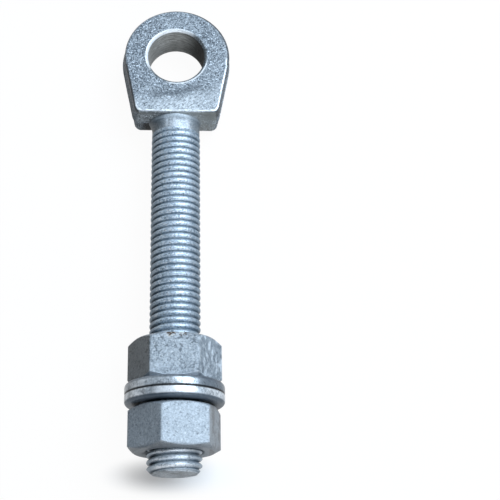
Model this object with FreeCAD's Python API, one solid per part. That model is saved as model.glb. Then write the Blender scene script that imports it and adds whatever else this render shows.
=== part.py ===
import FreeCAD, Part
import math
import os

# Adjustable gate hinge: a drop-forged eye bolt with two hexagon nuts and two thick
# washers on its thread. Sizes are in millimetres and angles in degrees.
# The origin is the middle of the eye. The eye's bore runs along Z and the bolt along -Y.

# Forged eye
eye_radius = 21.5
eye_thickness = 17.0
bore_diameter = 22.4
bore_chamfer = 0.9
foot_distance = 25.8
flank_angle = 11.2
forging_draft = 5.0
foot_corner_radius = 3.4
eye_edge_radius = 1.1

# Shank and the envelope of its rolled thread
neck_diameter = 18.6
neck_length = 5.2
root_diameter = 14.0
root_depth = 5.4
thread_diameter = 19.0
end_thread_diameter = 20.0
end_thread_length = 46.0
thread_step_length = 2.0
tip_distance = 163.6
tip_chamfer = 1.8

# Hexagon nuts
nut_across_flats = 30.0
nut_height = 16.0
nut_face_diameter = 29.0
nut_corner_angle = 30.0
nut_countersink = 0.9
nut_clearance = 0.06
inner_nut_turn = -1.1
outer_nut_turn = 14.2

# Thick washers
washer_diameter = 36.6
washer_thickness = 4.0
washer_hole_clearance = 0.5
washer_rolled_edge = 1.5
washer_edge_break = 0.4

# How far the nuts and washers are wound on
thread_beyond_nut = 7.6
outer_nut_gap = 0.7

AXIS_Y = FreeCAD.Vector(0, 1, 0)
AXIS_Z = FreeCAD.Vector(0, 0, 1)
ORIGIN = FreeCAD.Vector(0, 0, 0)


def along_bolt(radius, distance):
    """A profile point at this radius, this far down the bolt from the middle of the eye."""
    return FreeCAD.Vector(radius, -distance, 0)


def turned_polygon(points):
    """The solid that a closed profile of straight lines sweeps round the bolt's axis."""
    return Part.Face(Part.makePolygon(points + points[:1])).revolve(ORIGIN, AXIS_Y, 360)


def eye_outline(inset, height):
    """The eye seen along its bore: a round crown, two leaning flanks and a flat foot.

    inset is how far the draft has drawn the outline in at this height.
    """
    lean = math.radians(flank_angle)
    radius = eye_radius - inset
    foot = -(foot_distance - inset)
    corner_radius = foot_corner_radius - inset
    shoulder = FreeCAD.Vector(radius * math.cos(lean), -radius * math.sin(lean), height)
    corner = FreeCAD.Vector((radius + foot * math.sin(lean)) / math.cos(lean), foot, height)
    up_flank = (shoulder - corner).normalize()
    along_foot = FreeCAD.Vector(-1, 0, 0)
    half_angle = up_flank.getAngle(along_foot) / 2
    setback = corner_radius / math.tan(half_angle)
    bisector = (up_flank + along_foot).normalize()
    centre = corner + bisector * (corner_radius / math.sin(half_angle))
    flank_end = corner + up_flank * setback
    foot_end = corner + along_foot * setback
    corner_middle = centre - bisector * corner_radius

    def left(point):
        return FreeCAD.Vector(-point.x, point.y, point.z)

    crown = FreeCAD.Vector(0, radius, height)
    return Part.Wire(
        [
            Part.Arc(shoulder, crown, left(shoulder)).toShape(),
            Part.makeLine(left(shoulder), left(flank_end)),
            Part.Arc(left(flank_end), left(corner_middle), left(foot_end)).toShape(),
            Part.makeLine(left(foot_end), foot_end),
            Part.Arc(foot_end, corner_middle, flank_end).toShape(),
            Part.makeLine(flank_end, shoulder),
        ]
    )


def eye_half():
    """One die's half of the eye, from the parting line up to the flat face, with its draft."""
    half_thickness = eye_thickness / 2
    drawn_in = half_thickness * math.tan(math.radians(forging_draft))
    outlines = [eye_outline(0, 0), eye_outline(drawn_in, half_thickness)]
    half = Part.makeLoft(outlines, True, True)
    rim = [edge for edge in half.Edges if edge.BoundBox.ZMin > half_thickness - 0.001]
    return half.makeFillet(eye_edge_radius, rim)


def bore_tool():
    """What the machined bore takes out of the eye, with the chamfer at each mouth."""
    radius = bore_diameter / 2
    half_thickness = eye_thickness / 2
    mouth = radius + bore_chamfer
    flare = Part.makeCone(radius, mouth, bore_chamfer, AXIS_Z * (half_thickness - bore_chamfer), AXIS_Z)
    relief = Part.makeCylinder(mouth, bore_chamfer, AXIS_Z * half_thickness, AXIS_Z)
    upper = flare.fuse(relief)
    lower = upper.mirror(ORIGIN, AXIS_Z)
    straight = Part.makeCylinder(radius, eye_thickness, AXIS_Z * -half_thickness, AXIS_Z)
    return straight.fuse([upper, lower])


def shank():
    """The bolt below the eye: a root that runs into the foot, the neck, the thread's
    envelope and the chamfered tip. The last stretch keeps its full crest, and the rest is
    a little smaller."""
    crest = thread_diameter / 2
    neck = neck_diameter / 2
    end_crest = end_thread_diameter / 2
    neck_end = foot_distance + neck_length
    end_thread_start = tip_distance - end_thread_length
    return turned_polygon(
        [
            along_bolt(0, foot_distance - root_depth),
            along_bolt(root_diameter / 2, foot_distance - root_depth),
            along_bolt(neck, foot_distance),
            along_bolt(neck, neck_end),
            along_bolt(crest, neck_end + (crest - neck)),
            along_bolt(crest, end_thread_start),
            along_bolt(end_crest, end_thread_start + thread_step_length),
            along_bolt(end_crest, tip_distance - tip_chamfer),
            along_bolt(end_crest - tip_chamfer, tip_distance),
            along_bolt(0, tip_distance),
        ]
    )


def eye_bolt():
    """The forged eye and its shank, one piece of steel."""
    upper = eye_half()
    eye = upper.fuse(upper.mirror(ORIGIN, AXIS_Z))
    return eye.fuse(shank()).cut(bore_tool()).removeSplitter()


def hexagon_nut(start_distance, turn):
    """A hexagon nut whose eye-side face lies at this distance, turned about the bolt."""
    corner = nut_across_flats / 2 / math.cos(math.radians(30))
    corners = []
    for step in range(6):
        angle = math.radians(30 + 60 * step + turn)
        corners.append(
            FreeCAD.Vector(corner * math.sin(angle), -start_distance, corner * math.cos(angle))
        )
    hexagon = Part.Face(Part.makePolygon(corners + corners[:1]))
    prism = hexagon.extrude(AXIS_Y * -nut_height)

    face = nut_face_diameter / 2
    fall = (corner - face) * math.tan(math.radians(nut_corner_angle))
    end_distance = start_distance + nut_height
    envelope = turned_polygon(
        [
            along_bolt(0, start_distance),
            along_bolt(face, start_distance),
            along_bolt(corner, start_distance + fall),
            along_bolt(corner, end_distance - fall),
            along_bolt(face, end_distance),
            along_bolt(0, end_distance),
        ]
    )

    bore = end_thread_diameter / 2 + nut_clearance
    mouth = bore + nut_countersink
    hole = turned_polygon(
        [
            along_bolt(0, start_distance),
            along_bolt(mouth, start_distance),
            along_bolt(bore, start_distance + nut_countersink),
            along_bolt(bore, end_distance - nut_countersink),
            along_bolt(mouth, end_distance),
            along_bolt(0, end_distance),
        ]
    )
    return prism.common(envelope).cut(hole)


def thick_washer(mating_distance, towards_tip):
    """A thick washer whose mating face lies at this distance. Its other face has the
    rolled outer edge, as two bevels. towards_tip is 1 if it lies on the tip side of its
    mating face, and -1 if it lies on the eye side."""
    rim = washer_diameter / 2
    hole = end_thread_diameter / 2 + washer_hole_clearance
    rolled = washer_rolled_edge
    rolled_in = rolled * (1 - math.sqrt(0.5))

    def at(radius, depth):
        return along_bolt(radius, mating_distance + towards_tip * depth)

    return turned_polygon(
        [
            at(hole, 0),
            at(rim - washer_edge_break, 0),
            at(rim, washer_edge_break),
            at(rim, washer_thickness - rolled),
            at(rim - rolled_in, washer_thickness - rolled_in),
            at(rim - rolled, washer_thickness),
            at(hole, washer_thickness),
        ]
    )


outer_nut_start = tip_distance - thread_beyond_nut - nut_height
washer_joint_distance = outer_nut_start - outer_nut_gap - washer_thickness
inner_nut_start = washer_joint_distance - washer_thickness - nut_height

nodes = {
    "eye_bolt": eye_bolt(),
    "inner_nut": hexagon_nut(inner_nut_start, inner_nut_turn),
    "inner_washer": thick_washer(washer_joint_distance, -1),
    "outer_washer": thick_washer(washer_joint_distance, 1),
    "outer_nut": hexagon_nut(outer_nut_start, outer_nut_turn),
}

os.makedirs("parts", exist_ok=True)
for name, shape in nodes.items():
    shape.exportStep(f"parts/{name}.step")
    box = shape.BoundBox
    print(
        f"{name}: valid {shape.isValid()}, solids {len(shape.Solids)}, {shape.Volume:.0f} mm3, "
        f"y {box.YMin:.2f} to {box.YMax:.2f}, z {box.ZMin:.2f} to {box.ZMax:.2f}"
    )
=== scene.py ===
import math

import bmesh
import bpy
from mathutils import Matrix, Vector, noise


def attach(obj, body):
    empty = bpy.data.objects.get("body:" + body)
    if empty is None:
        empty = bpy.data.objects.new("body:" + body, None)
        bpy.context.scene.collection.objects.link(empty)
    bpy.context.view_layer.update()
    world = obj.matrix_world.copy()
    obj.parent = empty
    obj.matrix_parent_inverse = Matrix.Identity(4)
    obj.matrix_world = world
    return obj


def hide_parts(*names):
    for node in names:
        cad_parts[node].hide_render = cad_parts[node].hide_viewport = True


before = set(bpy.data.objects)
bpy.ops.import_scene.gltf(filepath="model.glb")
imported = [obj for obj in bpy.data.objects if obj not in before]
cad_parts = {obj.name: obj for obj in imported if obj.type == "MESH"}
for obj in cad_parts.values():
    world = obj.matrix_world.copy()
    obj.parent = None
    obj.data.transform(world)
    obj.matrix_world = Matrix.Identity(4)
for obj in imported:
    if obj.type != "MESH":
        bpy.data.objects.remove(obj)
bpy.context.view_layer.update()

# The forged eye. Two dies press it out of steel bar, so its sides lean in from the parting
# line, its rims are rolled over and a trimmed land is left all round. The bore is drilled
# and chamfered afterwards, and the whole forging is dipped in molten zinc.

# Sizes and places are in millimetres all through, and a finished piece is in metres.
metre = 1000.0
eye_radius = 21.36
eye_half_thickness = 8.5
parting_land = 0.22
land_height = 0.13
draft = math.tan(math.radians(5.0))
flank_lean = math.radians(11.2)
foot_line = -25.68
foot_corner = 3.3
rim_roll = 1.0
bore_radius = 11.2
bore_chamfer = 0.9
upper_die_shift = 0.42
crown_steps, flank_steps, foot_steps, corner_steps = 108, 22, 28, 6
wall_steps, rim_steps, face_rings = 6, 6, 34

# Marks of the forging: a fold across the face, a ring sunk round the bore, a drip of zinc, a
# rough skin on the faces and the walls, and a hollow in the foot left of the neck.
fold_middle, fold_slope, fold_width, fold_depth = -18.2, 0.34, 2.5, 0.45
ring_radius, ring_width, ring_depth = 14.5, 2.4, 0.1
drip_across, drip_along, drip_spread, drip_height = 0.3, -16.5, 0.9, 0.18
coarse_lumps, coarse_height, fine_lumps, fine_height = 5.0, 0.07, 1.7, 0.035
wall_lumps, wall_height, wall_inset = 4.0, 0.045, 0.05
hollow_depth = 1.1


def smooth_step(low, high, value):
    share = min(max((value - low) / (high - low), 0.0), 1.0)
    return share * share * (3 - 2 * share)


def bell(offset, width):
    return math.exp(-((offset / width) ** 2))


def ripple(place, wavelength):
    """A smooth random height from about -1 to 1, the same on every run."""
    fineness, gap, octaves = 0.8, 2.0, 3
    return noise.fractal(Vector(place) / wavelength, fineness, gap, octaves)


def points_in(items):
    return [item for item in items if isinstance(item, bmesh.types.BMVert)]


def lines_in(items):
    return [item for item in items if isinstance(item, bmesh.types.BMEdge)]


def pull(shape, lip):
    """Extrudes this loop of lines, and returns the new points and the new loop."""
    pulled = bmesh.ops.extrude_edge_only(shape, edges=lip)["geom"]
    return points_in(pulled), lines_in(pulled)


def finish_piece(shape, name, materials, crease):
    """Turns a shape in millimetres into a smooth-shaded object in metres."""
    bmesh.ops.scale(shape, vec=(1 / metre,) * 3, verts=shape.verts)
    bmesh.ops.recalc_face_normals(shape, faces=shape.faces)
    mesh = bpy.data.meshes.new(name)
    shape.to_mesh(mesh)
    shape.free()
    mesh.shade_smooth()
    mesh.set_sharp_from_angle(angle=math.radians(crease))
    for material in materials:
        mesh.materials.append(material)
    piece = bpy.data.objects.new(name, mesh)
    bpy.context.scene.collection.objects.link(piece)
    return piece


def die_outline(shape):
    """The parting line of the eye: crown, flanks, rounded corners and foot, as a closed loop."""
    shoulder = Vector((math.cos(flank_lean), -math.sin(flank_lean), 0)) * eye_radius
    corner_x = (eye_radius + foot_line * math.sin(flank_lean)) / math.cos(flank_lean)
    start = bmesh.ops.create_vert(shape, co=shoulder)["vert"][0]
    crown = bmesh.ops.spin(
        shape, geom=[start], cent=(0, 0, 0), axis=(0, 0, 1), dvec=(0, 0, 0),
        angle=math.pi + 2 * flank_lean, steps=crown_steps, use_merge=False,
        use_normal_flip=False, use_duplicate=False,
    )
    finish = points_in(crown["geom_last"])[0]
    right = bmesh.ops.create_vert(shape, co=(corner_x, foot_line, 0))["vert"][0]
    left = bmesh.ops.create_vert(shape, co=(-corner_x, foot_line, 0))["vert"][0]
    shape.edges.new((start, right))
    shape.edges.new((right, left))
    shape.edges.new((left, finish))
    half_angle = (math.pi / 2 + flank_lean) / 2
    bmesh.ops.bevel(
        shape, geom=[right, left], offset=foot_corner / math.tan(half_angle),
        offset_type="OFFSET", segments=corner_steps, profile=0.5, affect="VERTICES", material=-1,
    )
    long_lines = [edge for edge in shape.edges if edge.calc_length() > 10]
    for line in long_lines:
        level = abs(line.verts[0].co.y - line.verts[1].co.y) < 1
        bmesh.ops.subdivide_edges(shape, edges=[line], cuts=(foot_steps if level else flank_steps) - 1)


eye = bmesh.new()
die_outline(eye)
bmesh.ops.translate(eye, verts=eye.verts, vec=(0, 0, parting_land))
face = bmesh.ops.contextual_create(eye, geom=eye.edges[:])["faces"][0]
if face.normal.z < 0:
    face.normal_flip()
wall = eye_half_thickness - parting_land
for step in range(wall_steps):
    bmesh.ops.inset_region(
        eye, faces=[face], thickness=wall / wall_steps * draft, depth=wall / wall_steps,
        use_boundary=True, use_even_offset=True,
    )
bmesh.ops.bevel(
    eye, geom=list(face.edges), offset=rim_roll, offset_type="OFFSET", segments=rim_steps,
    profile=0.5, affect="EDGES", material=-1, clamp_overlap=True,
)
face = max(eye.faces, key=lambda one: one.calc_area())
rim = list(face.edges)
bmesh.ops.delete(eye, geom=[face], context="FACES_ONLY")
mouth_points, lip = pull(eye, rim)
for point in mouth_points:
    point.co.xy = point.co.xy.normalized() * (bore_radius + bore_chamfer)
mouth = set(mouth_points)
spokes = [edge for edge in eye.edges if sum(point in mouth for point in edge.verts) == 1]
bmesh.ops.subdivide_edges(eye, edges=spokes, cuts=face_rings, use_grid_fill=True)

chamfer = [
    (bore_radius + bore_chamfer - 0.12, eye_half_thickness - 0.05),
    (bore_radius + 0.1, eye_half_thickness - bore_chamfer + 0.1),
    (bore_radius, eye_half_thickness - bore_chamfer - 0.08),
]
bore_wall = [(bore_radius, height) for height in (6.0, 4.5, 3.0, 1.5, 0.0)]
for radius, height in chamfer + bore_wall:
    points, lip = pull(eye, lip)
    for point in points:
        point.co.xy = point.co.xy.normalized() * radius
        point.co.z = height

# The trimmed land stands a little proud of both dies' walls.
land = [
    edge for edge in eye.edges
    if edge.is_boundary and all(abs(point.co.z - parting_land) < 0.01 for point in edge.verts)
]
for proud, height in [(land_height, parting_land), (0.0, 0.0)]:
    points, land = pull(eye, land)
    for point in points:
        point.co.xy += point.co.xy.normalized() * proud
        point.co.z = height
bmesh.ops.mirror(eye, geom=eye.verts[:] + eye.edges[:] + eye.faces[:], axis="Z", merge_dist=0.002)

for point in eye.verts:
    x, y, z = point.co
    side = 1 if z > 0 else -1
    from_bore = point.co.to_2d().length
    cast = smooth_step(bore_radius + 0.6, bore_radius + 2.6, from_bore)
    fold_line = fold_middle + fold_slope / 2 * (x + math.hypot(x, 3.0))
    fold = bell(y - fold_line, fold_width) * (1 - smooth_step(9, 16, abs(x)))
    ring = bell(from_bore - ring_radius, ring_width)
    drip = math.exp(-((x - drip_across) ** 2 + (y - drip_along) ** 2) / drip_spread) if z > 0 else 0.0
    coarse = ripple((x, y, z), coarse_lumps) * coarse_height
    fine = ripple((x + 40, y, z), fine_lumps) * fine_height
    relief = coarse + fine - fold_depth * fold - ring_depth * ring + drip_height * drip
    if z > 0:
        point.co.x += upper_die_shift * z / eye_half_thickness * cast
    point.co.z += side * relief * cast * smooth_step(6.8, 8.3, abs(z))
    if from_bore > 18 and abs(z) < 7.4:
        rough = ripple((x, y, z + 30), wall_lumps) * wall_height
        point.co.xy -= point.co.xy.normalized() * (wall_inset + rough)
    if z < -0.01:
        lower_foot = (1 - smooth_step(-10.0, -5.5, x)) * (1 - smooth_step(-21.0, -18.0, y))
        point.co.y += hollow_depth * lower_foot * smooth_step(-8.5, -0.1, z)


class Feed:
    """What flows through one socket of a finish, so that its maths reads as Python."""

    def __init__(self, finish, socket):
        self.finish = finish
        self.socket = socket

    def maths(self, operation, first, second=0.0, third=0.0):
        feeds = {0: first, 1: second, 2: third}
        return self.finish.node("Math", {"operation": operation}, feeds, "Value")

    def __add__(self, other):
        return self.maths("ADD", self, other)

    def __radd__(self, other):
        return self.maths("ADD", other, self)

    def __sub__(self, other):
        return self.maths("SUBTRACT", self, other)

    def __rsub__(self, other):
        return self.maths("SUBTRACT", other, self)

    def __mul__(self, other):
        return self.maths("MULTIPLY", self, other)

    def __rmul__(self, other):
        return self.maths("MULTIPLY", other, self)

    def __neg__(self):
        return self.maths("MULTIPLY", self, -1.0)

    def __abs__(self):
        return self.maths("ABSOLUTE", self)

    def larger(self, other, softness=0.0):
        """The larger of the two, with the corner between them rounded over this distance."""
        return self.maths("SMOOTH_MAX", self, other, softness)

    def rise(self, low, high):
        """0 below low and 1 above high, with a soft change between."""
        return self.finish.node(
            "MapRange", {"interpolation_type": "SMOOTHSTEP"},
            {"Value": self, "From Min": low, "From Max": high}, "Result",
        )


class Finish:
    """A procedural material under construction, read in object coordinates."""

    # A Mix node's sockets share their names, so its colours go by number.
    mix_first, mix_second, mix_result = 6, 7, 2

    def __init__(self, name):
        self.material = bpy.data.materials.new(name)
        self.material.use_nodes = True
        self.nodes = self.material.node_tree.nodes
        self.links = self.material.node_tree.links
        self.nodes.clear()
        self.place = self.node("TexCoord", {}, {}, "Object")

    def node(self, kind, settings, feeds, output=None):
        """Adds a node with these settings, feeds its sockets and returns what this output gives."""
        made = self.nodes.new("ShaderNode" + kind)
        for key, value in settings.items():
            setattr(made, key, value)
        for key, value in feeds.items():
            socket = made.inputs[key]
            if isinstance(value, Feed):
                self.links.new(value.socket, socket)
            else:
                socket.default_value = value
        if output is not None:
            return Feed(self, made.outputs[output])

    def coordinates(self):
        """The place's x, y and z."""
        return [
            self.node("SeparateXYZ", {}, {"Vector": self.place}, axis) * metre for axis in ("X", "Y", "Z")
        ]

    def stretched(self, x, y, z):
        """The place with its coordinates multiplied by these numbers."""
        return self.node("Mapping", {}, {"Vector": self.place, "Scale": (x, y, z)}, "Vector")

    def distance(self, x, y, z):
        """How far the place is from the origin. A direction with 0 doesn't count."""
        counted = self.stretched(x, y, z)
        return self.node("VectorMath", {"operation": "LENGTH"}, {0: counted}, "Value") * metre

    def lumps(self, place, per_metre, detail, roughness):
        """Noise with about this many lumps to a metre of this place."""
        feeds = {"Vector": place, "Scale": per_metre, "Detail": detail, "Roughness": roughness}
        return self.node("TexNoise", {}, feeds, "Fac")

    def grain(self, size, detail, roughness):
        """Fine noise whose lumps are about this wide."""
        return self.lumps(self.place, metre / 2 / size, detail, roughness)

    def crystals(self, size):
        """A steady random value for each zinc crystal of about this width."""
        cells = self.node("TexVoronoi", {}, {"Vector": self.place, "Scale": metre / size}, "Color")
        return self.node("SeparateColor", {}, {"Color": cells}, "Red")

    def blend(self, share, first, second):
        """A colour between two. A share of 0 gives the first, and 1 the second."""
        feeds = {"Factor": share}
        for socket, colour in ((self.mix_first, first), (self.mix_second, second)):
            feeds[socket] = colour if isinstance(colour, Feed) else (*colour, 1.0)
        return self.node("Mix", {"data_type": "RGBA"}, feeds, self.mix_result)

    def bump(self, height, depth):
        feeds = {"Strength": 1.0, "Distance": depth / metre, "Height": height}
        return self.node("Bump", {}, feeds, "Normal")

    def surface(self, feeds):
        """The material, with a principled shader that takes these feeds."""
        shader = self.node("BsdfPrincipled", {}, feeds, "BSDF")
        self.node("OutputMaterial", {}, {"Surface": shader})
        return self.material


def dipped_zinc(name, dark, light, roughness, metallic, grain_size, speckle, depth, edit):
    """Hot-dipped zinc: a mottled grey-blue skin of fine crystals and pinholes, with painted glints on
    some crystals.

    speckle is how strongly the crystals differ and how strong the pinholes and painted glints are, depth
    is how high the bumps are, and edit adds what only one piece shows, at the places where it shows.
    """
    zinc = Finish(name)
    fine = zinc.grain(grain_size, 3.0, 0.7)
    mottle = zinc.grain(2.2, 2.0, 0.6)
    cloud = zinc.grain(8.0, 3.0, 0.6)
    crystal = zinc.crystals(grain_size * 0.9)
    pinhole = zinc.grain(grain_size * 1.2, 1.0, 0.5).rise(0.62, 0.69)
    painted_glint = zinc.crystals(grain_size).rise(0.90, 0.94)
    pit = tuple(part * 0.35 for part in dark)
    bright = tuple(min(part * 1.7, 0.96) for part in light)
    tone = (fine - 0.5) * (3.2 * speckle) + (crystal - 0.5) * (0.7 * speckle)
    tone = tone + (mottle - 0.5) * 0.7 + cloud
    colour = zinc.blend(tone.rise(-0.2, 1.2), dark, light)
    colour = zinc.blend(pinhole * (0.65 * speckle), colour, pit)
    # Painted glints: some crystals are painted brighter to stand in for sparkles of light.
    colour = zinc.blend(painted_glint * (0.6 * speckle * speckle), colour, bright)
    rough = roughness + (cloud - 0.5) * 0.12 + (fine - 0.5) * 0.25
    height = fine * 1.2 + crystal * 0.2 - pinhole * 0.6
    colour, rough, metal = edit(zinc, colour, rough, metallic)
    return zinc.surface({
        "Base Color": colour, "Roughness": rough, "Metallic": metal, "Specular IOR Level": 0.2,
        "Normal": zinc.bump(height, depth),
    })


def bored_zinc():
    """The drilled bore keeps its turning marks under a thin, duller skin of zinc, with painted shade down
    its left wall and darker painted shade down its right.
    """
    dark_ring, light_ring = (0.19, 0.193, 0.188), (0.57, 0.59, 0.585)
    lower_zinc, painted_left_shade, painted_right_shade = (0.60, 0.62, 0.60), (0.10, 0.105, 0.10), (0.028, 0.027, 0.023)
    scratched = (0.85, 0.88, 0.88)
    scratch_height = 1.2

    zinc = Finish("bored_zinc")
    across, along, up = zinc.coordinates()
    streaks = zinc.lumps(zinc.stretched(1.0, 1.0, 7.0), 260.0, 4.0, 0.6)
    fine = zinc.grain(0.5, 2.0, 0.6)
    tone = (streaks - 0.5) * 2.2 + (fine - 0.5) * 0.7 + 0.5
    deep = (1 - up.rise(-4.0, 3.0)) * (1 - across.rise(-4.0, 4.0))
    left = 1 - across.rise(-10.4, -5.0)
    right = across.rise(1.0, 10.2)
    scratch = (1 - abs(up - scratch_height).rise(0.08, 0.2)) * fine.rise(0.45, 0.6)
    scratch = scratch * (1 - across.rise(0.0, 3.0)) * along.rise(4.0, 7.0)
    colour = zinc.blend(tone.rise(0.0, 1.0), dark_ring, light_ring)
    colour = zinc.blend(deep * 0.15, colour, lower_zinc)
    # Painted shade on the left and right of the bore's wall.
    colour = zinc.blend(left * 0.55, colour, painted_left_shade)
    colour = zinc.blend(right * 0.90, colour, painted_right_shade)
    colour = zinc.blend(scratch * 0.7, colour, scratched)
    return zinc.surface({
        "Base Color": colour, "Roughness": right * 0.35 + 0.4 + (fine - 0.5) * 0.2,
        "Metallic": 0.1 - right * 0.1, "Specular IOR Level": 0.15,
        "Normal": zinc.bump(streaks + fine * 0.4, 0.05),
    })


def eye_scale_light_and_shade(zinc, colour, rough, metal):
    """What shows on the eye: flakes of scale, and painted light and shade, which are highlights on the
    rims, the ledge and the bore's mouth, and shade in the fold, the hollow and along the outline.
    """
    scale, painted_fold_shade, painted_outline_shade = (0.06, 0.08, 0.10), (0.09, 0.11, 0.13), (0.05, 0.055, 0.06)
    ledge_highlight, painted_foot_light, wall_shade = (0.75, 0.81, 0.86), (0.52, 0.55, 0.53), (0.07, 0.075, 0.08)
    painted_edge_highlight, rim_highlight, seam_highlight = (0.93, 0.96, 0.99), (0.88, 0.92, 0.96), (0.62, 0.66, 0.70)
    painted_mouth_shade, painted_hollow_shade = (0.10, 0.105, 0.10), (0.02, 0.019, 0.017)

    across, along, up = zinc.coordinates()
    face = up.rise(6.6, 7.2)
    side = abs(across - upper_die_shift)
    from_bore = zinc.distance(1.0, 1.0, 0.0)
    foot_side = (-along).rise(19.0, 21.5)
    right_side = across.rise(8.0, 16.0) * (1 - along.rise(-3.0, 1.0))

    # The eye's outline, as a distance that is the same all round it: crown, flanks, then foot.
    flank = side * math.cos(flank_lean) - along * math.sin(flank_lean)
    below_crown = (-along - side * math.tan(flank_lean)).rise(-0.5, 0.5)
    edge = from_bore + (flank - from_bore) * below_crown
    outwards = edge.larger(-along - 4.3, 3.4)

    # Dark flakes of scale lie all over the face, and the fold and the ledge below it cross it, with
    # painted shade in the fold and a painted highlight on the ledge.
    slanted = zinc.node(
        "Mapping", {"vector_type": "TEXTURE"},
        {"Vector": zinc.place, "Rotation": (0.0, 0.0, 0.6), "Scale": (2.0, 0.8, 1.0)}, "Vector",
    )
    flakes = zinc.lumps(slanted, 1300.0, 3.0, 0.7).rise(0.42, 0.58)
    fold = along - across.larger(0.0, 4.0) * fold_slope
    dip = (1 - fold.rise(-16.8, -13.8)) * fold.rise(-18.8, -16.4) * (1 - side.rise(7.0, 12.0)) * face
    ledge = along.rise(-25.2, -24.4) * (1 - fold.rise(-22.2, -16.0)) * face
    ledge = ledge * (1 - side.rise(4.0, 12.0) * 0.45)
    colour = zinc.blend((1 - flakes) * face * 0.25, colour, scale)
    # Painted shade makes the face a little darker towards the crown, in the colour of the scale.
    colour = zinc.blend(along.rise(8.0, 18.0) * face * 0.12, colour, scale)
    # A painted highlight on the ledge, streaked by the flakes.
    colour = zinc.blend(ledge * (0.2 + flakes * 0.68), colour, ledge_highlight)

    # Thin lines of painted shade follow the outline on the shaded side, on the right wall and under the
    # foot.
    shaded = (along - across * 0.6).rise(-4.0, 4.0).larger(1 - across.rise(-15.0, -14.0))
    outline = outwards.rise(19.8, 20.3) * up.rise(6.6, 7.4) * shaded
    right_line = outwards.rise(20.1, 20.3) * up.rise(0.5, 5.5) * across.rise(9.0, 13.0)
    below_foot = outwards.rise(20.2, 20.4) * up.rise(6.0, 7.0) * foot_side
    for line, share in ((outline, 0.9), (right_line, 0.75), (below_foot, 0.5)):
        colour = zinc.blend(line * share, colour, painted_outline_shade)
    # Painted shade in the fold.
    colour = zinc.blend(dip * 0.65, colour, painted_fold_shade)

    # The walls are duller than the face. The foot face gets painted light, more on its right, and the
    # foot has a hollow filled with painted shade, with a painted highlight on the seam above it by the
    # neck.
    wall = 1 - abs(up).rise(6.2, 7.4)
    foot_face = 1 - along.rise(-25.0, -24.5)
    beside_neck = (1 - along.rise(-24.3, -23.8)) * across.rise(-14.8, -11.8)
    beside_neck = beside_neck * (1 - across.rise(-8.5, -7.5))
    hollow = beside_neck * (1 - up.rise(-2.6, -1.6))
    seam = beside_neck * (1 - abs(up + 1.1).rise(0.3, 0.7))
    colour = zinc.blend(wall * 0.08 * (1 - foot_face), colour, wall_shade)
    colour = zinc.blend(foot_face * (across.rise(-2.0, 4.0) * 0.3 + 0.15), colour, painted_foot_light)
    colour = zinc.blend(hollow * 0.9, colour, painted_hollow_shade)
    colour = zinc.blend(seam * 0.6, colour, seam_highlight)

    # The bore's mouth gets painted shade, with a painted highlight on its edge at the upper left and a
    # thin painted highlight at its lower right.
    mouth = (1 - from_bore.rise(12.1, 12.5)) * face
    shiny = mouth * (along - across * 0.9).rise(1.0, 7.0)
    lit_lower_right = from_bore.rise(12.0, 12.2) * (1 - from_bore.rise(12.4, 12.8)) * face
    lit_lower_right = lit_lower_right * (across * 0.6 - along).rise(8.5, 11.5)
    colour = zinc.blend(mouth * 0.6, colour, painted_mouth_shade)
    colour = zinc.blend(shiny * 0.95, colour, painted_edge_highlight)
    colour = zinc.blend(lit_lower_right * 0.8, colour, painted_edge_highlight)

    # The rolled rim gets a painted highlight at the foot and on the right, broken where the zinc is
    # rough.
    lit = foot_side.larger(right_side)
    rim = outwards.rise(19.45, 19.8) * (1 - outwards.rise(20.1, 20.3)) * face * (lit * 0.9 + 0.1)
    broken = zinc.grain(1.2, 2.0, 0.6).rise(0.36, 0.52)
    colour = zinc.blend(rim * (0.45 + broken * 0.45), colour, rim_highlight)
    return colour, rough - (rim + shiny) * 0.14 + wall * 0.2, metal + rim * 0.2 + shiny * 0.15


forged_zinc = dipped_zinc(
    "forged_zinc", (0.105, 0.13, 0.158), (0.445, 0.50, 0.555), roughness=0.4, metallic=0.05,
    grain_size=0.38, speckle=1.3, depth=0.12, edit=eye_scale_light_and_shade,
)
for one in eye.faces:
    in_bore = all(point.co.to_2d().length < bore_radius + 0.05 for point in one.verts)
    one.material_index = 1 if in_bore else 0
forged_eye = finish_piece(eye, "forged_eye", [forged_zinc, bored_zinc()], crease=38)
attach(forged_eye, "eye_bolt")
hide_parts("eye_bolt")

# The threaded bolt. Its neck grows out of the eye's foot, and a right-hand thread is rolled
# into the bar below it. The long stretch was rolled short of full depth, so its crests are low
# and round, and only the last stretch towards the tip has full crests. All of it is dipped.

pitch = 2.5
turn_steps = 72
thread_start = -30.6
run_in_length = 3.4
shank_root, shank_crest = 8.3, 9.48
end_root, end_crest = 8.4, 9.98
end_stretch_top = -118.6
end_stretch_overlap = 0.5
tip = -163.6
tip_bevel = 1.8
crest_place = -58.9
neck_radius = 9.3
neck_spread, neck_press = 0.035, 0.19
flash_outwards, flash_downwards = 0.9, 0.5

# Half a crest, from the groove's bottom to its top: (share of the pitch, share of the depth).
rolled_crest = [
    (0.0, 0.0), (0.05, 0.04), (0.10, 0.20), (0.16, 0.48), (0.22, 0.72), (0.29, 0.88), (0.36, 0.96),
    (0.43, 0.99), (0.5, 1.0),
]
full_crest = [
    (0.0, 0.0), (0.05, 0.06), (0.10, 0.26), (0.17, 0.52), (0.25, 0.75), (0.33, 0.90), (0.42, 0.98),
    (0.5, 1.0),
]


def from_axis(point):
    return math.hypot(point.co.x, point.co.z)


def set_radius(point, radius):
    """Moves a point straight out from the bolt's axis, or in, to this radius."""
    size = radius / from_axis(point)
    point.co.x *= size
    point.co.z *= size


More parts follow.
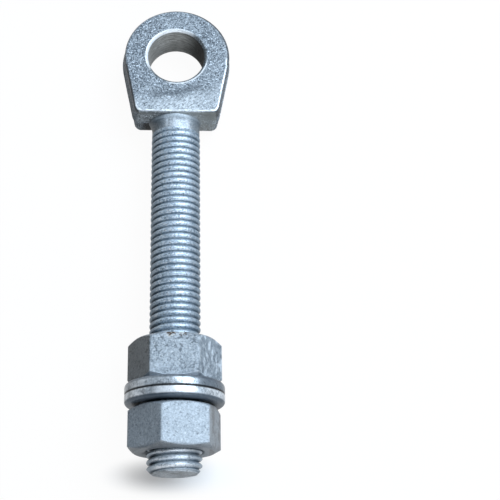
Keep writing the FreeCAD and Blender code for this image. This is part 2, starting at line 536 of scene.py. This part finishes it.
def rolled_thread(shape, half_crest, root, crest, top, bottom):
    """A right-hand thread, one turn of it swept and then repeated from bottom to top."""
    lowest = crest_place - math.ceil((crest_place - bottom) / pitch + 1) * pitch - pitch / 2
    other_half = [(1 - share, height) for share, height in reversed(half_crest[:-1])]
    points = [
        shape.verts.new((0, lowest + share * pitch, root + (crest - root) * height))
        for share, height in half_crest + other_half
    ]
    lines = [shape.edges.new(pair) for pair in zip(points, points[1:])]
    bmesh.ops.spin(
        shape, geom=points + lines, cent=(0, 0, 0), axis=(0, 1, 0),
        dvec=(0, pitch / turn_steps, 0), angle=math.tau, steps=turn_steps,
        use_merge=False, use_normal_flip=False, use_duplicate=False,
    )
    one_turn = shape.verts[:] + shape.edges[:] + shape.faces[:]
    for turn in range(1, math.ceil((top - bottom) / pitch) + 2):
        copy = bmesh.ops.duplicate(shape, geom=one_turn)
        bmesh.ops.translate(shape, verts=points_in(copy["geom"]), vec=(0, pitch * turn, 0))
    bmesh.ops.remove_doubles(shape, verts=shape.verts, dist=0.004)


def cut_square(shape, distance, keep_above):
    """Cuts the thread off square, and returns the edges of the cut."""
    cut = bmesh.ops.bisect_plane(
        shape, geom=shape.verts[:] + shape.edges[:] + shape.faces[:], dist=0.0005,
        plane_co=(0, distance, 0), plane_no=(0, 1, 0),
        clear_inner=keep_above, clear_outer=not keep_above,
    )
    return lines_in(cut["geom_cut"])


def close_ends(shape):
    bmesh.ops.holes_fill(shape, edges=[edge for edge in shape.edges if edge.is_boundary], sides=0)


def press_neck(point):
    """The neck is pressed a little flatter where it leaves the foot, and has flash on its left."""
    pressed = smooth_step(-28.6, -25.6, point.co.y)
    point.co.x *= 1 + neck_spread * pressed
    point.co.z *= 1 - neck_press * pressed
    flash = smooth_step(-29.7, -25.8, point.co.y) * smooth_step(-4, -9, point.co.x)
    point.co.x -= flash_outwards * flash
    point.co.z -= flash_downwards * flash


shank = bmesh.new()
rolled_thread(shank, rolled_crest, shank_root, shank_crest, thread_start, end_stretch_top)
for point in shank.verts:
    run_in = smooth_step(thread_start, thread_start - run_in_length, point.co.y)
    set_radius(point, neck_radius + (from_axis(point) - neck_radius) * run_in)
cut_square(shank, end_stretch_top, True)
lip = cut_square(shank, thread_start, False)
straight_neck = [(distance, neck_radius) for distance in (-29.8, -29.0, -28.2, -27.6, -27.0)]
flared_neck = [(-26.5, 9.32), (-26.0, 9.38), (-25.4, 9.4), (-24.8, 9.34)]
root_in_eye = [(-24.2, 8.9), (-23.0, 8.0), (-21.0, 7.0)]
for distance, radius in straight_neck + flared_neck + root_in_eye:
    points, lip = pull(shank, lip)
    for point in points:
        set_radius(point, radius)
        point.co.y = distance
for point in shank.verts:
    if point.co.y > thread_start + 0.1:
        press_neck(point)
close_ends(shank)

tip_end = bmesh.new()
rolled_thread(tip_end, full_crest, end_root, end_crest, end_stretch_top, tip)
for point in tip_end.verts:
    most = end_crest - tip_bevel + max(0.0, point.co.y - tip) + 0.02
    if from_axis(point) > most:
        set_radius(point, most)
cut_square(tip_end, end_stretch_top + end_stretch_overlap, False)
cut_square(tip_end, tip, True)
close_ends(tip_end)


def darker_below(low, high, share):
    """Paints shade into the finish, darker towards the bottom of a thread, between two radii, and down
    both sides, and scuffs the flat end of the tip."""
    painted_side_shade, painted_groove_shade, scuffed = (0.09, 0.145, 0.20), (0.05, 0.08, 0.11), (0.14, 0.15, 0.16)

    def edit(zinc, colour, rough, metal):
        across, along, _ = zinc.coordinates()
        groove = 1 - zinc.distance(1.0, 0.0, 1.0).rise(low, high)
        left = 1 - across.rise(-9.2, -4.4)
        right = across.rise(3.5, 8.5)
        wall = along.rise(tip + 0.1, tip + 0.5)
        scuffs = zinc.grain(3.0, 4.0, 0.7).rise(0.40, 0.62)
        colour = zinc.blend((left * 0.72 + right * 0.66) * wall, colour, painted_side_shade)
        colour = zinc.blend(groove * wall * (left * 0.25 + share), colour, painted_groove_shade)
        colour = zinc.blend((1 - wall) * (0.30 + scuffs * 0.40), colour, scuffed)
        metal = metal * (0.1 + wall * 0.9) * (1 - groove * 0.8)
        return colour, rough + (1 - wall) * 0.2 + groove * 0.15, metal

    return edit


def drawn_neck(zinc, colour, rough, metal):
    """The dies drew the neck lengthways: its streaks carry a painted highlight down the middle, with
    painted shade down its sides and painted light up to the foot.
    """
    streak_highlight, painted_side_shade, painted_foot_light = (0.80, 0.86, 0.92), (0.09, 0.11, 0.125), (0.55, 0.61, 0.66)

    across, along, _ = zinc.coordinates()
    middle = abs(across - 0.3)
    streak = zinc.lumps(zinc.stretched(1.0, 0.25, 1.0), 900.0, 3.0, 0.5).rise(0.40, 0.62)
    colour = zinc.blend(streak * (1 - middle.rise(4.0, 6.5)) * 0.45, colour, streak_highlight)
    colour = zinc.blend(middle.rise(3.5, 7.5) * 0.75, colour, painted_side_shade)
    colour = zinc.blend(along.rise(-27.0, -26.2) * 0.4, colour, painted_foot_light)
    return colour, rough, metal


rolled_zinc = dipped_zinc(
    "rolled_zinc", (0.31, 0.40, 0.49), (0.76, 0.87, 0.97), roughness=0.43, metallic=0.5,
    grain_size=0.36, speckle=1.15, depth=0.05, edit=darker_below(8.4, 9.3, 0.56),
)
end_zinc = dipped_zinc(
    "end_zinc", (0.52, 0.58, 0.64), (0.88, 0.93, 0.98), roughness=0.36, metallic=0.5,
    grain_size=0.4, speckle=0.9, depth=0.04, edit=darker_below(8.5, 9.4, 0.55),
)
neck_zinc = dipped_zinc(
    "neck_zinc", (0.22, 0.26, 0.30), (0.62, 0.68, 0.74), roughness=0.44, metallic=0.25,
    grain_size=0.4, speckle=0.85, depth=0.05, edit=drawn_neck,
)
for one in shank.faces:
    one.material_index = 1 if one.calc_center_median().y > thread_start - 1.0 else 0
threaded_shank = finish_piece(shank, "threaded_shank", [rolled_zinc, neck_zinc], crease=60)
threaded_tip = finish_piece(tip_end, "threaded_tip", [end_zinc], crease=50)
for piece in (threaded_shank, threaded_tip):
    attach(piece, "eye_bolt")
    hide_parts("eye_bolt")

# The two hexagon nuts. Each is forged hot, chamfered on both ends, tapped and spun in zinc, so
# its corners are slightly rounded and its flats have a fine grain.

across_flats = 30.0
nut_height = 16.0
nut_face_radius = 14.5
nut_chamfer = math.radians(30)
nut_bore = 10.05
nut_mouth = 10.95
nut_countersink = 0.9
corner_rounding = 0.42
rim_rounding = 0.16
column_count = 96
inner_nut_start, inner_nut_turn = -115.3, -1.1
outer_nut_start, outer_nut_turn = -140.0, 14.2
inner_nut_end = inner_nut_start - nut_height
outer_nut_end = outer_nut_start - nut_height


def flat_radius(point, turn):
    """How far out the hexagon's side lies in this point's direction from the axis."""
    angle = math.atan2(point.co.x, point.co.z) - turn
    from_middle = (angle + math.radians(30)) % math.radians(60) - math.radians(30)
    return across_flats / 2 / math.cos(from_middle)


def hexagon_nut(name, start, turn_degrees, finish):
    """A nut whose eye-side face lies at this distance. The bore's circle is pulled out over one
    end, down the flats, in over the other end and back up the bore. Where no radius is given it
    follows the hexagon, where the chamfer's cone meets the flats."""
    turn = math.radians(turn_degrees)
    end = start - nut_height
    upright = Matrix.Rotation(math.radians(-90), 4, "X")
    at_bore = Matrix.Translation((0, start - nut_countersink, 0))
    nut = bmesh.new()
    bmesh.ops.create_circle(
        nut, cap_ends=False, segments=column_count, radius=nut_bore,
        matrix=Matrix.Rotation(turn, 4, "Y") @ at_bore @ upright,
    )
    lip = nut.edges[:]
    for distance, radius in [
        (start, nut_mouth), (start, nut_face_radius), (start, None),
        (end, None), (end, nut_face_radius), (end, nut_mouth),
        (end + nut_countersink, nut_bore), (start - nut_countersink, nut_bore),
    ]:
        points, lip = pull(nut, lip)
        for point in points:
            point.co.y = distance
            if radius is None:
                side = flat_radius(point, turn)
                fall = (side - nut_face_radius) * math.tan(nut_chamfer)
                point.co.y += -fall if distance == start else fall
                set_radius(point, side)
            else:
                set_radius(point, radius)
    bmesh.ops.remove_doubles(nut, verts=nut.verts, dist=0.001)
    bmesh.ops.recalc_face_normals(nut, faces=nut.faces)

    # First the six long corners are rounded, then the shorter lines that the cones and ends left.
    near_corner = across_flats / 2 / math.cos(math.radians(29))
    corners = [
        edge for edge in nut.edges
        if edge.calc_length() > nut_height * 0.6
        and all(from_axis(point) > near_corner for point in edge.verts)
    ]
    bmesh.ops.bevel(
        nut, geom=corners, offset=corner_rounding, offset_type="OFFSET", segments=3, profile=0.5,
        affect="EDGES", material=-1, clamp_overlap=True,
    )
    rims = [
        edge for edge in nut.edges
        if edge.is_manifold and edge.calc_face_angle() > math.radians(22) and edge.calc_length() < 3
    ]
    bmesh.ops.bevel(
        nut, geom=rims, offset=rim_rounding, offset_type="OFFSET", segments=2, profile=0.5,
        affect="EDGES", material=-1, clamp_overlap=True,
    )
    return finish_piece(nut, name, [finish], crease=16)


def on_chamfer(zinc, end):
    """1 on the cone that chamfers the nut's end at this distance, and 0 on the flats beside it."""
    _, along, _ = zinc.coordinates()
    cone = (along - end) * (1 / math.tan(nut_chamfer)) + nut_face_radius
    return (zinc.distance(1.0, 0.0, 1.0) - cone).rise(-0.3, -0.1)


def worn_nut(zinc, colour, rough, metal):
    """The inner nut has rust and white salts on its upper rim, pits in its flats, runs of zinc on its
    right flat with painted shade between them, painted shade on its left flat and painted light on its
    lower chamfer."""
    rust, salt, pit = (0.075, 0.045, 0.025), (0.75, 0.76, 0.74), (0.09, 0.11, 0.13)
    chamfer_light, run_zinc, painted_left_shade = (0.86, 0.93, 1.0), (0.74, 0.83, 0.92), (0.11, 0.11, 0.10)
    painted_shade_between_runs = (0.10, 0.135, 0.17)

    across, along, up = zinc.coordinates()
    band = along.rise(-118.4, -116.6) * across.rise(-4.5, -2.5) * (1 - across.rise(3.5, 6.0))
    band = band * up.rise(11.5, 12.5) * (1 - along.rise(-115.6, -115.4))
    spots = (zinc.grain(0.8, 2.0, 0.6) + band * 0.1).rise(0.56, 0.60) * band
    salts = (band * 0.08 - zinc.grain(1.0, 2.0, 0.6)).rise(-0.36, -0.32) * band
    pits = zinc.grain(0.75, 1.5, 0.5).rise(0.57, 0.64) * zinc.grain(5.0, 2.0, 0.6).rise(0.34, 0.56)
    right_flat = across.rise(7.8, 8.6)
    runs = zinc.lumps(zinc.stretched(1.0, 0.7, 1.0), 420.0, 5.0, 0.5).rise(0.44, 0.64)
    left_flat = 1 - across.rise(-9.2, -8.6)
    colour = zinc.blend(spots * 0.95, colour, rust)
    colour = zinc.blend(salts * 0.6, colour, salt)
    colour = zinc.blend(pits * 0.7, colour, pit)
    # Painted light on the lower chamfer, then painted shade on the right flat between the runs and on the
    # left flat.
    colour = zinc.blend(on_chamfer(zinc, inner_nut_end) * 0.9, colour, chamfer_light)
    colour = zinc.blend(right_flat * runs * 0.4, colour, run_zinc)
    colour = zinc.blend(right_flat * (1 - runs) * 0.5, colour, painted_shade_between_runs)
    colour = zinc.blend(left_flat * 0.52, colour, painted_left_shade)
    return colour, rough + spots * 0.25, metal


def outer_nut_shade(zinc, colour, rough, metal):
    """The outer nut has painted shade on its end and its left flat, and streaky painted shade on its
    right flat.
    """
    painted_end_shade, painted_left_shade, painted_right_flat_shade = (0.10, 0.11, 0.12), (0.11, 0.12, 0.13), (0.12, 0.125, 0.13)

    across, along, _ = zinc.coordinates()
    end = 1 - along.rise(outer_nut_end + 0.4, outer_nut_end + 1.5)
    left_flat = 1 - across.rise(-4.5, -3.8)
    right_flat = across.rise(12.1, 12.6) * (1 - on_chamfer(zinc, outer_nut_end))
    streak = zinc.grain(2.4, 3.0, 0.6).rise(0.42, 0.60)
    colour = zinc.blend(end * 0.55, colour, painted_end_shade)
    colour = zinc.blend(left_flat * 0.22, colour, painted_left_shade)
    colour = zinc.blend(right_flat * (0.52 + streak * 0.36), colour, painted_right_flat_shade)
    return colour, rough, metal


nut_zinc = dipped_zinc(
    "nut_zinc", (0.24, 0.28, 0.32), (0.54, 0.60, 0.66), roughness=0.42, metallic=0.06,
    grain_size=0.42, speckle=0.6, depth=0.05, edit=outer_nut_shade,
)
worn_nut_zinc = dipped_zinc(
    "worn_nut_zinc", (0.20, 0.235, 0.27), (0.54, 0.60, 0.66), roughness=0.45, metallic=0.06,
    grain_size=0.42, speckle=0.65, depth=0.06, edit=worn_nut,
)
for node, start, turn_degrees, finish in [
    ("inner_nut", inner_nut_start, inner_nut_turn, worn_nut_zinc),
    ("outer_nut", outer_nut_start, outer_nut_turn, nut_zinc),
]:
    nut = hexagon_nut("chamfered_" + node, start, turn_degrees, finish)
    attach(nut, node)
    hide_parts(node)

# The two thick washers. Each is stamped from plate and tumbled, which rolls its outer edge
# over on the punch side, and the pair lies face to face between the nuts.

washer_radius = 18.28
washer_thickness = 4.0
washer_hole = 10.5
washer_joint = -135.3
washer_steps = 144
rim_inset = 0.05
dent_lumps, dent_depth = 4.0, 0.05


def washer_stains_and_shade(zinc, colour, rough, metal):
    """Stains, painted shade in the joint between the washers, on the inner washer's right and on both
    sides, a painted highlight on the outer washer's rim and a band of painted shade where each edge rolls
    over."""
    stain_shade, painted_right_shade, painted_side_shade = (0.07, 0.08, 0.09), (0.08, 0.11, 0.145), (0.10, 0.12, 0.14)
    painted_roll_shade, rim_glow_highlight, painted_joint_shade = (0.06, 0.085, 0.115), (0.97, 0.98, 1.0), (0.02, 0.022, 0.025)

    across, along, _ = zinc.coordinates()
    from_joint = abs(along - washer_joint)
    aside = abs(across)
    on_inner = along.rise(washer_joint - 0.1, washer_joint + 0.1)
    rolled = from_joint.rise(2.4, 3.1)
    shaded_joint = 1 - from_joint.rise(0.25, 0.6)
    stain = zinc.grain(2.6, 3.0, 0.65).rise(0.50, 0.62) * (1 - across.rise(-9.0, 2.0))
    lit_rim_middle = (1 - aside.rise(5.0, 10.0)) * (1 - on_inner) * (1 - rolled)
    colour = zinc.blend(stain * 0.45, colour, stain_shade)
    # Painted shade on the inner washer's right, on both washers' sides and on each rolled edge.
    colour = zinc.blend(on_inner * across.rise(4.0, 12.0) * 0.84, colour, painted_right_shade)
    colour = zinc.blend(aside.rise(9.0, 17.0) * (on_inner * 0.28 + 0.14), colour, painted_side_shade)
    colour = zinc.blend(rolled * (0.94 - on_inner * 0.22), colour, painted_roll_shade)
    # A painted highlight on the middle of the outer washer's rim, and painted shade in the joint.
    colour = zinc.blend(lit_rim_middle * 0.7, colour, rim_glow_highlight)
    colour = zinc.blend(shaded_joint * 0.9, colour, painted_joint_shade)
    return colour, rough + rolled * 0.1, metal - lit_rim_middle * 0.25


def thick_washer(name, towards_tip, finish):
    """A stamped washer on one side of the joint. towards_tip is 1 on the tip's side, else -1."""
    washer = bmesh.new()

    # Each corner of the section: radius, depth from the joint, rounding and steps round it.
    corners = [
        (washer_hole, 0.0, 0.25, 2), (washer_radius, 0.0, 0.45, 3),
        (washer_radius, washer_thickness, 1.7, 6), (washer_hole, washer_thickness, 0.6, 3),
    ]
    points = [
        washer.verts.new((radius, washer_joint - towards_tip * depth, 0))
        for radius, depth, _, _ in corners
    ]
    for one, other in zip(points, points[1:] + points[:1]):
        washer.edges.new((one, other))
    for point, (_, _, size, segments) in zip(points, corners):
        bmesh.ops.bevel(
            washer, geom=[point], offset=size, offset_type="OFFSET", segments=segments,
            profile=0.5, affect="VERTICES", material=-1,
        )
    bmesh.ops.spin(
        washer, geom=washer.verts[:] + washer.edges[:], cent=(0, 0, 0), axis=(0, 1, 0),
        dvec=(0, 0, 0), angle=math.tau, steps=washer_steps, use_merge=True,
        use_normal_flip=False, use_duplicate=False,
    )
    bmesh.ops.remove_doubles(washer, verts=washer.verts, dist=0.001)
    for point in washer.verts:
        if from_axis(point) > 16:
            dent = ripple(point.co, dent_lumps) * dent_depth
            set_radius(point, from_axis(point) - rim_inset - dent)
    return finish_piece(washer, name, [finish], crease=40)


washer_zinc = dipped_zinc(
    "washer_zinc", (0.32, 0.36, 0.40), (0.86, 0.91, 0.96), roughness=0.30, metallic=0.45,
    grain_size=0.7, speckle=0.6, depth=0.04, edit=washer_stains_and_shade,
)
for node, towards_tip in [("inner_washer", -1), ("outer_washer", 1)]:
    washer = thick_washer("stamped_" + node, towards_tip, washer_zinc)
    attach(washer, node)
    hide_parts(node)

# The floor. The hinge rests on the rim of its washers and the far edge of its eye, so in its
# own frame the floor leans. It turns up into a low backdrop all round. It stays white to the
# camera and in polished metal, and takes the hinge's shadow, most of all under its tip.

floor_lean = math.radians(3.65)
floor_under_washers = Matrix.Translation((0, -133, -18.32))
floor_reach = 4000.0
backdrop_height = 1100.0
shadow_middle, shadow_squash = -160.88, 3.4

# The camera sees pale paper, but the hinge gets little light back from it.
seen_paper, lighting_paper = (0.9, 0.9, 0.9), (0.16, 0.157, 0.15)

floor_shape = bmesh.new()
bmesh.ops.create_grid(
    floor_shape, x_segments=1, y_segments=1, size=floor_reach,
    matrix=floor_under_washers @ Matrix.Rotation(floor_lean, 4, "X"),
)
far_points, _ = pull(floor_shape, floor_shape.edges[:])
bmesh.ops.translate(floor_shape, verts=far_points, vec=(0, 0, backdrop_height))

paper = Finish("white_paper")
seen = paper.node("LightPath", {}, {}, "Is Camera Ray")
for ray in ("Is Glossy Ray", "Is Transmission Ray"):
    seen = seen.larger(paper.node("LightPath", {}, {}, ray))
under_tip = paper.node(
    "Mapping", {}, {
        "Vector": paper.place, "Location": (0.0, -shadow_middle * shadow_squash / metre, 0.0),
        "Scale": (1.0, shadow_squash, 0.0),
    }, "Vector",
)
from_tip = paper.node("VectorMath", {"operation": "LENGTH"}, {0: under_tip}, "Value") * metre
paper_colour = paper.blend(seen, lighting_paper, seen_paper)
matte = paper.node("BsdfDiffuse", {}, {"Color": paper_colour}, "BSDF")
glow = paper.node("Emission", {}, {"Color": (1.0, 1.0, 1.0, 1.0), "Strength": 1.0}, "Emission")
glow_share = seen * (0.20 + from_tip.rise(6.0, 30.0) * 0.76)
sheet = paper.node("MixShader", {}, {0: glow_share, 1: matte, 2: glow}, "Shader")
paper.node("OutputMaterial", {}, {"Surface": sheet})
floor = finish_piece(floor_shape, "floor", [paper.material], crease=30)

# The light: a large soft box above, behind and to the right of the hinge, a long low box in
# front of its tip that catches the rims, and a dim room.

box_aim = Vector((0, -70, 0)) / metre
box_distance = 1000 / metre
box_width = 900 / metre
room_colour, room_strength = (0.8, 0.9, 1.0, 1.0), 0.03

world = bpy.data.worlds.new("room")
bpy.context.scene.world = world
world.use_nodes = True
room = world.node_tree.nodes["Background"]
room.inputs["Color"].default_value = room_colour
room.inputs["Strength"].default_value = room_strength


def soft_box(name, direction, depth, watts, colour):
    lamp = bpy.data.lights.new(name, "AREA")
    lamp.shape = "RECTANGLE"
    lamp.size = box_width
    lamp.size_y = depth / metre
    lamp.energy = watts
    lamp.color = colour
    holder = bpy.data.objects.new(name, lamp)
    bpy.context.scene.collection.objects.link(holder)
    away = Vector(direction).normalized()
    holder.location = box_aim + away * box_distance
    holder.rotation_euler = away.to_track_quat("Z", "Y").to_euler()


soft_box("key_box", (0.42, 0.28, 0.86), depth=700, watts=15.5, colour=(0.76, 0.88, 1.0))
soft_box("front_box", (0.22, -0.88, 0.42), depth=300, watts=4.0, colour=(0.94, 0.97, 1.0))

# The camera looks down on the hinge from beyond its tip, as the photograph does. The hinge is
# left of the picture's middle, so the camera is turned to its right, and rolled very slightly.

photo_width = 500
lens_length = 80.26
sensor_width = 36.0
camera_place = Vector((0, -225.61, 397.74)) / metre
look_down = math.radians(69.757)
roll = math.radians(-0.27)
pixels_off_middle = 74.6

focal_pixels = lens_length / sensor_width * photo_width
ahead = Vector((0, math.cos(look_down), -math.sin(look_down)))
up = Vector((0, math.sin(look_down), math.cos(look_down)))
ahead = Matrix.Rotation(-math.atan(pixels_off_middle / focal_pixels), 3, up) @ ahead
up = Matrix.Rotation(roll, 3, ahead) @ up
across = ahead.cross(up).normalized()
lens = bpy.data.cameras.new("camera")
lens.sensor_width = sensor_width
lens.lens = lens_length
lens.clip_start = 0.01
camera = bpy.data.objects.new("camera", lens)
turned = Matrix((across, up, -ahead)).transposed().to_4x4()
camera.matrix_world = Matrix.Translation(camera_place) @ turned
bpy.context.scene.collection.objects.link(camera)
bpy.context.scene.camera = camera
bpy.context.scene.view_settings.view_transform = "Standard"
